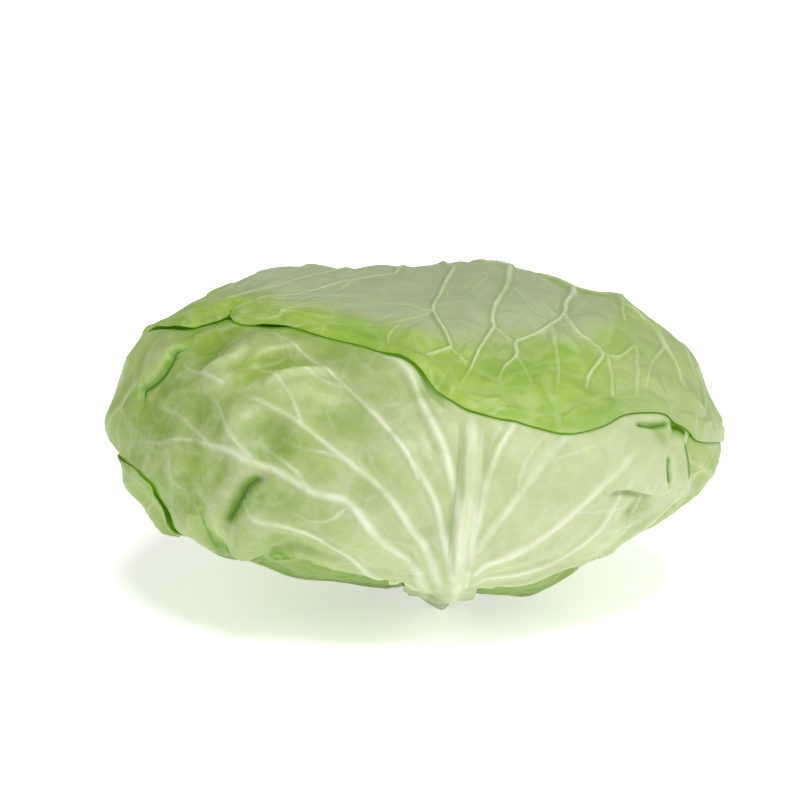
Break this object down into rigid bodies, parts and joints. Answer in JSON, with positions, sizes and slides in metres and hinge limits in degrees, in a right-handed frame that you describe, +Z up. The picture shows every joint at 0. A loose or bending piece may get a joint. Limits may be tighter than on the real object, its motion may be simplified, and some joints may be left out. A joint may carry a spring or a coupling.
{
  "type": "cabbage head",
  "caption": "Flat-headed green cabbage, as cut: pale lapping wrapper leaves with white midribs round a tight heart, standing on its short cut stem.",
  "frame": {"origin": "Middle of the stem's flat cut face, on the plane that the head rests on", "axes": "+Z is up along the stem, -Y is the front, where the front leaf's midrib is, and +X is along the head's width, to the right of someone who faces the front"},
  "size_m": [0.2381, 0.224, 0.125],
  "materials": {
    "crown_leaf": "fresh green outer leaf with a thin waxy bloom",
    "front_leaf": "pale green leaf with a white midrib, smooth and slightly waxy",
    "side_leaf": "fresh green leaf, puckered at its margin, slightly waxy",
    "lower_leaf": "pale green leaf base, smooth and slightly waxy",
    "heart": "pale yellow-green inner leaves",
    "stem": "cut stem, moist and pale with a fibrous ring"
  },
  "bodies": {
    "root": {"crown_leaf": "crown_leaf", "front_leaf": "front_leaf", "left_leaf": "side_leaf", "right_leaf": "side_leaf", "lower_left_leaf": "lower_leaf", "lower_right_leaf": "lower_leaf", "lower_back_leaf": "lower_leaf", "heart": "heart", "stem": "stem"}
  },
  "joints": []
}
